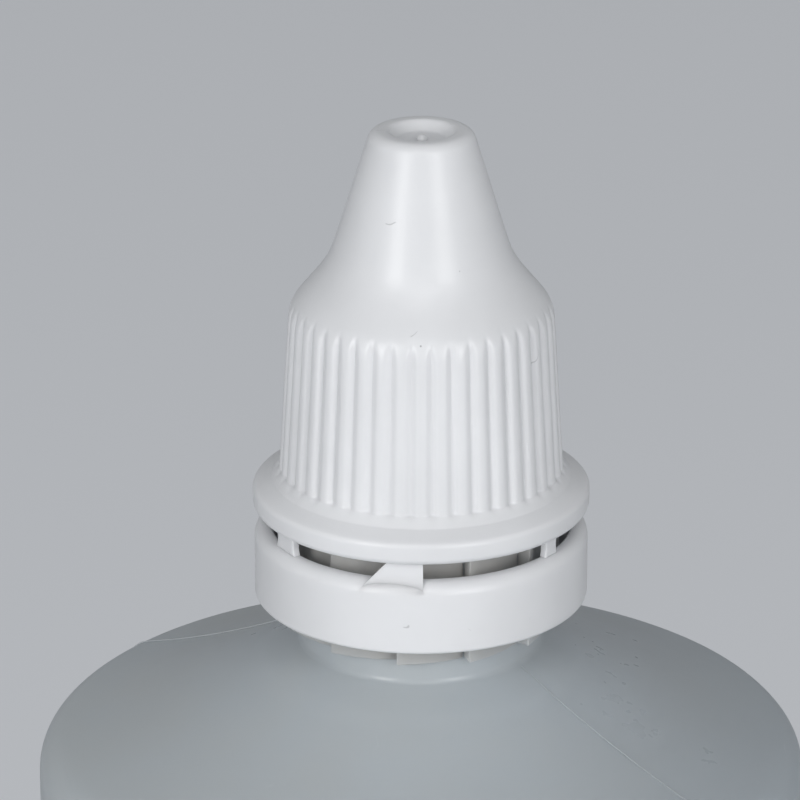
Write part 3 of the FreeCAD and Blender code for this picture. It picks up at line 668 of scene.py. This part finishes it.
class DROPPER_OT_cap(bpy.types.Operator):
    """Models the ribbed conical cap with its dimple, flange, inner thread and sealing pin"""
    bl_idname = "dropper.cap"
    bl_label = "Cap"

    GROOVE_SHARES = {0: 1.0, 1: 0.3}  # depth by columns from a groove's middle
    COLUMNS_PER_RIB = 6
    SKIRT_FOOT = (8.42, 2.45)
    SKIRT_TOP = (7.80, 12.46)

    def execute(self, context):
        settings = context.scene.closure_settings
        material = context.scene.world["closure material"]
        shell = self.shell(settings)
        screw = thread("cap_thread", 6.70, 6.10, THREAD_START - 1.0 * MM)
        for piece in (shell, screw):
            settle(piece, "cap", "cap", material)
        return {"FINISHED"}

    def outline(self):
        """Rings of the outside of the cap, in millimetres above its foot, and of its hollow."""
        outside = rounded([
            (9.3, 0, 0), (10.0, 0, 0.42), (10.0, 1.3, 0.42), (8.9, 1.85, 0.35),
            (8.50, 2.37, 0), (*self.SKIRT_FOOT, 0)])
        skirt = [(*self.SKIRT_FOOT, 0), (self.rib_crest(2.53), 2.53, 0), (*self.SKIRT_TOP, 2.3),
                 (5.4, 15.35, 6.0), (3.0, 23.25, 0.75),
                 (1.95, 23.25, 0.35), (1.45, 22.65, 0.25), (0, 22.65, 0)]
        inside = [(0, 21.6, 0), (2.45, 21.6, 0.4), (4.3, 15.35, 4.0), (6.70, 11.91, 0.4),
                  (6.70, 0, 0.25), (9.3, 0, 0)]
        return refined(outside[:-1] + rounded(skirt), 1.85, 14, 1.2), refined(rounded(inside), 0, 23, 2.5)

    def rib_crest(self, height):
        """Radius of the ribs' crests at a height above the cap's foot."""
        foot, top = self.SKIRT_FOOT, self.SKIRT_TOP
        return foot[0] + (top[0] - foot[0]) * (height - foot[1]) / (top[1] - foot[1])

    def shell(self, settings):
        """Outer skin with its ribs, and the hollow with its sealing pin."""
        outside, inside = self.outline()
        foot = CAP_LOW[2]
        columns = settings.rib_count * self.COLUMNS_PER_RIB
        skin = lathe("cap_shell", outside, columns, foot)
        self.cut_ribs(skin, settings, foot)
        hollow = lathe("cap_hollow", inside, 126, foot)
        hollow.data.flip_normals()
        for part in (skin, hollow):
            smooth(part, 1 if part is skin else 0, 40)
        clear_selection()
        bpy.ops.mesh.primitive_cylinder_add(
            vertices=32, radius=0.35 * MM, depth=1.6 * MM, location=(0, 0, foot + 20.95 * MM))
        pin = start_piece("cap_pin")
        soften(pin, 0.12 * MM)
        clear_selection()
        bpy.ops.mesh.primitive_uv_sphere_add(
            segments=32, ring_count=16, radius=0.34 * MM, location=(0, 0, foot + 22.62 * MM))
        nub = start_piece("cap_nub")
        for part in (pin, nub):
            smooth(part, 0, 50)
        return join([skin, hollow, pin, nub])

    def cut_ribs(self, skin, settings, foot):
        """Presses the groove columns in below the line of the crests, one height at a time."""
        depth = settings.rib_depth
        columns = settings.rib_count * self.COLUMNS_PER_RIB
        chosen = {}
        for vertex in skin.data.vertices:
            height = (vertex.co.z - foot) / MM
            radius = math.hypot(vertex.co.x, vertex.co.y)
            if height < self.SKIRT_FOOT[1] - 0.01 or radius < 5 * MM:
                continue
            column = round(math.atan2(vertex.co.y, vertex.co.x) / math.tau * columns)
            offset = column % self.COLUMNS_PER_RIB
            share = self.GROOVE_SHARES.get(min(offset, self.COLUMNS_PER_RIB - offset), 0.0)
            floor = self.rib_crest(height) * MM - depth * share
            if share and floor < radius - 1e-6:
                key = (round(height, 3), round(floor / radius, 4))
                chosen.setdefault(key, set()).add(vertex.index)
        press_in(skin, [(scale, sorted(indices)) for (_, scale), indices in sorted(chosen.items())])


class DROPPER_OT_tamper_ring(bpy.types.Operator):
    """Models the tamper ring with its stop wedges and its ratchet pawls"""
    bl_idname = "dropper.tamper_ring"
    bl_label = "Tamper ring"

    def execute(self, context):
        material = context.scene.world["closure material"]
        height = (RING_HIGH[2] - RING_LOW[2]) / MM
        top = 87.58 * MM - RING_LOW[2]
        body = lathe("tamper_band", rounded([
            (9.4, 0, 0), (9.92, 0, 0.25), (9.92, top / MM, 0.85), (8.9, top / MM, 0.15),
            (8.9, 0, 0.2), (9.4, 0, 0)]), 180, RING_LOW[2])
        smooth(body, 1, 50)
        wedges = copies_round_axis(self.wedge(math.radians(-100.5)), 3)
        pawl_face, pawl_back = math.radians(-101.5), math.radians(-114.5)
        pawl = plate("pawls", [polar(7.85, pawl_face), polar(9.2, pawl_face), polar(9.2, pawl_back)],
                     83.39 * MM, 85.99 * MM, 0.12 * MM)
        pawls = copies_round_axis(pawl, WHEEL_TEETH)
        for part in (wedges, pawls):
            smooth(part, 0, 35)
        ring = join([body, wedges, pawls])
        settle(ring, "tamper_ring", "tamper_ring", material)
        return {"FINISHED"}

    @staticmethod
    def wedge(middle):
        """A stop wedge on the ring's top: upright on one side and slanted on the other."""
        low, high = 86.95 * MM, RING_HIGH[2]
        half = 1.8 / 9.25
        corners = [polar(8.92, middle - half), polar(9.87, middle - half),
                   polar(9.87, middle + half), polar(8.92, middle + half)]
        wedge = plate("stop_wedges", corners, low, high, 0.0001 * MM)
        for vertex in wedge.data.vertices:
            if vertex.co.z > high - 0.05 * MM:
                angle = math.atan2(vertex.co.y, vertex.co.x)
                radius = min(math.hypot(vertex.co.x, vertex.co.y) / MM, 9.38)
                if angle < middle:
                    angle = middle + half - 2.1 / 9.25
                vertex.co.x, vertex.co.y = polar(radius, angle)
        soften(wedge, 0.14 * MM)
        return wedge


class DROPPER_OT_bridges(bpy.types.Operator):
    """Models the thin break-away webs between the cap and the tamper ring"""
    bl_idname = "dropper.bridges"
    bl_label = "Break-away bridges"

    WEBS = ((-35.5, 1.0), (89.0, 1.0), (-148.3, 1.75))  # middle from +X in degrees, and relative width

    def execute(self, context):
        material = context.scene.world["closure material"]
        clear_selection()
        low, high = BRIDGE_LOW[2], BRIDGE_HIGH[2]
        bpy.ops.mesh.primitive_cube_add(size=1, location=(9.15 * MM, 0, (low + high) / 2),
                                        scale=(0.46 * MM, 1.2 * MM, high - low))
        web = start_piece("bridges")
        bpy.ops.object.mode_set(mode="EDIT")
        bpy.ops.mesh.subdivide(number_cuts=4)
        bpy.ops.object.mode_set(mode="OBJECT")
        for vertex in web.data.vertices:
            waist = 1 - abs(2 * (vertex.co.z - low) / (high - low) - 1) ** 2
            vertex.co.y *= 1 - 0.16 * waist
        webs = []
        for angle, stretch in self.WEBS:
            copy = web.copy()
            copy.data = web.data.copy()
            turn = Matrix.Rotation(math.radians(angle), 4, "Z")
            copy.data.transform(turn @ Matrix.Diagonal((1, stretch, 1, 1)))
            bpy.context.collection.objects.link(copy)
            soften(copy, 0.08 * MM, 2)
            webs.append(copy)
        bpy.data.objects.remove(web)
        web = join(webs)
        web.name = web.data.name = "bridges"
        smooth(web, 0, 50)
        settle(web, "bridges", "breakaway_bridges", material)
        return {"FINISHED"}


class DROPPER_OT_plug(bpy.types.Operator):
    """Gives the dropper plug its milky finish"""
    bl_idname = "dropper.plug"
    bl_label = "Dropper plug"

    def execute(self, context):
        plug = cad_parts["dropper_plug"]
        plug.data.materials.clear()
        plug.data.materials.append(plug_finish(context.scene.bottle_settings))
        return {"FINISHED"}


class DROPPER_OT_stage(bpy.types.Operator):
    """Sets the floor, the soft lights and the camera"""
    bl_idname = "dropper.stage"
    bl_label = "Stage"

    SOFTBOXES = (  # name, place, width, height, watts
        ("Left softbox", (-0.52, -0.76, 0.36), 0.28, 0.60, 3.6),
        ("Right softbox", (0.48, -0.78, 0.32), 0.24, 0.60, 3.0),
        ("Front softbox", (0.0, -0.70, 0.75), 0.50, 0.25, 1.0),
    )

    def execute(self, context):
        settings = context.scene.stage_settings
        self.floor(settings)
        for name, place, width, height, watts in self.SOFTBOXES:
            self.softbox(name, Vector(place), width, height, watts)
        self.surroundings(context)
        self.camera(context, settings)
        return {"FINISHED"}

    @staticmethod
    def floor(settings):
        clear_selection()
        bpy.ops.mesh.primitive_plane_add(size=3.0)
        floor = start_piece("floor")
        bpy.ops.object.mode_set(mode="EDIT")
        bpy.ops.mesh.subdivide(number_cuts=6)
        bpy.ops.object.mode_set(mode="OBJECT")
        floor.data.materials.append(floor_finish(settings))

    @staticmethod
    def softbox(name, place, width, height, watts):
        clear_selection()
        bpy.ops.object.light_add(type="AREA", location=place)
        lamp = bpy.context.active_object
        lamp.name = name
        lamp.data.shape = "RECTANGLE"
        lamp.data.size, lamp.data.size_y = width, height
        lamp.data.energy = watts
        aim = Vector((0, 0, 0.09)) - place
        lamp.rotation_euler = aim.to_track_quat("-Z", "Y").to_euler()

    @staticmethod
    def surroundings(context):
        """An even, pale studio all round."""
        tree = context.scene.world.node_tree
        background = tree.nodes["Background"]
        background.inputs["Color"].default_value = (0.94, 0.97, 1.0, 1)
        background.inputs["Strength"].default_value = 0.31

    @staticmethod
    def camera(context, settings):
        pitch, yaw = math.radians(0.94), math.radians(0.227)
        target = Vector((0, 0, CAP_LOW[2] + 0.85 * MM))
        ahead = Vector((0, math.cos(settings.elevation), -math.sin(settings.elevation)))
        upward = Vector((0, math.sin(settings.elevation), math.cos(settings.elevation)))
        aim = ahead + upward * math.tan(pitch) - Vector((1, 0, 0)) * math.tan(yaw)
        bpy.ops.object.camera_add(location=target - ahead * settings.distance)
        camera = bpy.context.active_object
        camera.rotation_euler = aim.to_track_quat("-Z", "Y").to_euler()
        camera.data.lens = settings.lens
        camera.data.clip_start = 0.01
        context.scene.camera = camera
        context.scene.view_settings.view_transform = "Standard"


# ---------------------------------------------------------------- add-on

class DROPPER_OT_closure_finish(bpy.types.Operator):
    """Makes the white finish that the cap, the ring and the bridges share"""
    bl_idname = "dropper.closure_finish"
    bl_label = "Closure finish"

    def execute(self, context):
        if context.scene.world is None:
            context.scene.world = bpy.data.worlds.new("Studio")
        context.scene.world.use_nodes = True
        context.scene.world["closure material"] = closure_finish(context.scene.closure_settings)
        return {"FINISHED"}


class DROPPER_PT_panel(bpy.types.Panel):
    bl_label = "Dropper Bottle"
    bl_idname = "DROPPER_PT_panel"
    bl_space_type = "VIEW_3D"
    bl_region_type = "UI"
    bl_category = "Dropper Bottle"

    def draw(self, context):
        for name in SETTINGS:
            box = self.layout.box()
            settings = getattr(context.scene, name)
            for prop in settings.bl_rna.properties:
                if not prop.is_readonly and prop.identifier != "name":
                    box.prop(settings, prop.identifier)
        for operator in OPERATORS:
            self.layout.operator(operator.bl_idname)


SETTINGS = {"closure_settings": ClosureSettings, "bottle_settings": BottleSettings,
            "stage_settings": StageSettings}
OPERATORS = (DROPPER_OT_closure_finish, DROPPER_OT_bottle, DROPPER_OT_cap, DROPPER_OT_tamper_ring,
             DROPPER_OT_bridges, DROPPER_OT_plug, DROPPER_OT_stage)


def register():
    for cls in (*SETTINGS.values(), *OPERATORS, DROPPER_PT_panel):
        bpy.utils.register_class(cls)
    for name, cls in SETTINGS.items():
        setattr(bpy.types.Scene, name, PointerProperty(type=cls))


def unregister():
    for name in SETTINGS:
        delattr(bpy.types.Scene, name)
    for cls in (DROPPER_PT_panel, *reversed(OPERATORS), *reversed(SETTINGS.values())):
        bpy.utils.unregister_class(cls)


def main():
    register()
    for operator in OPERATORS:
        group, name = operator.bl_idname.split(".")
        getattr(getattr(bpy.ops, group), name)()


if __name__ == "__main__":
    main()
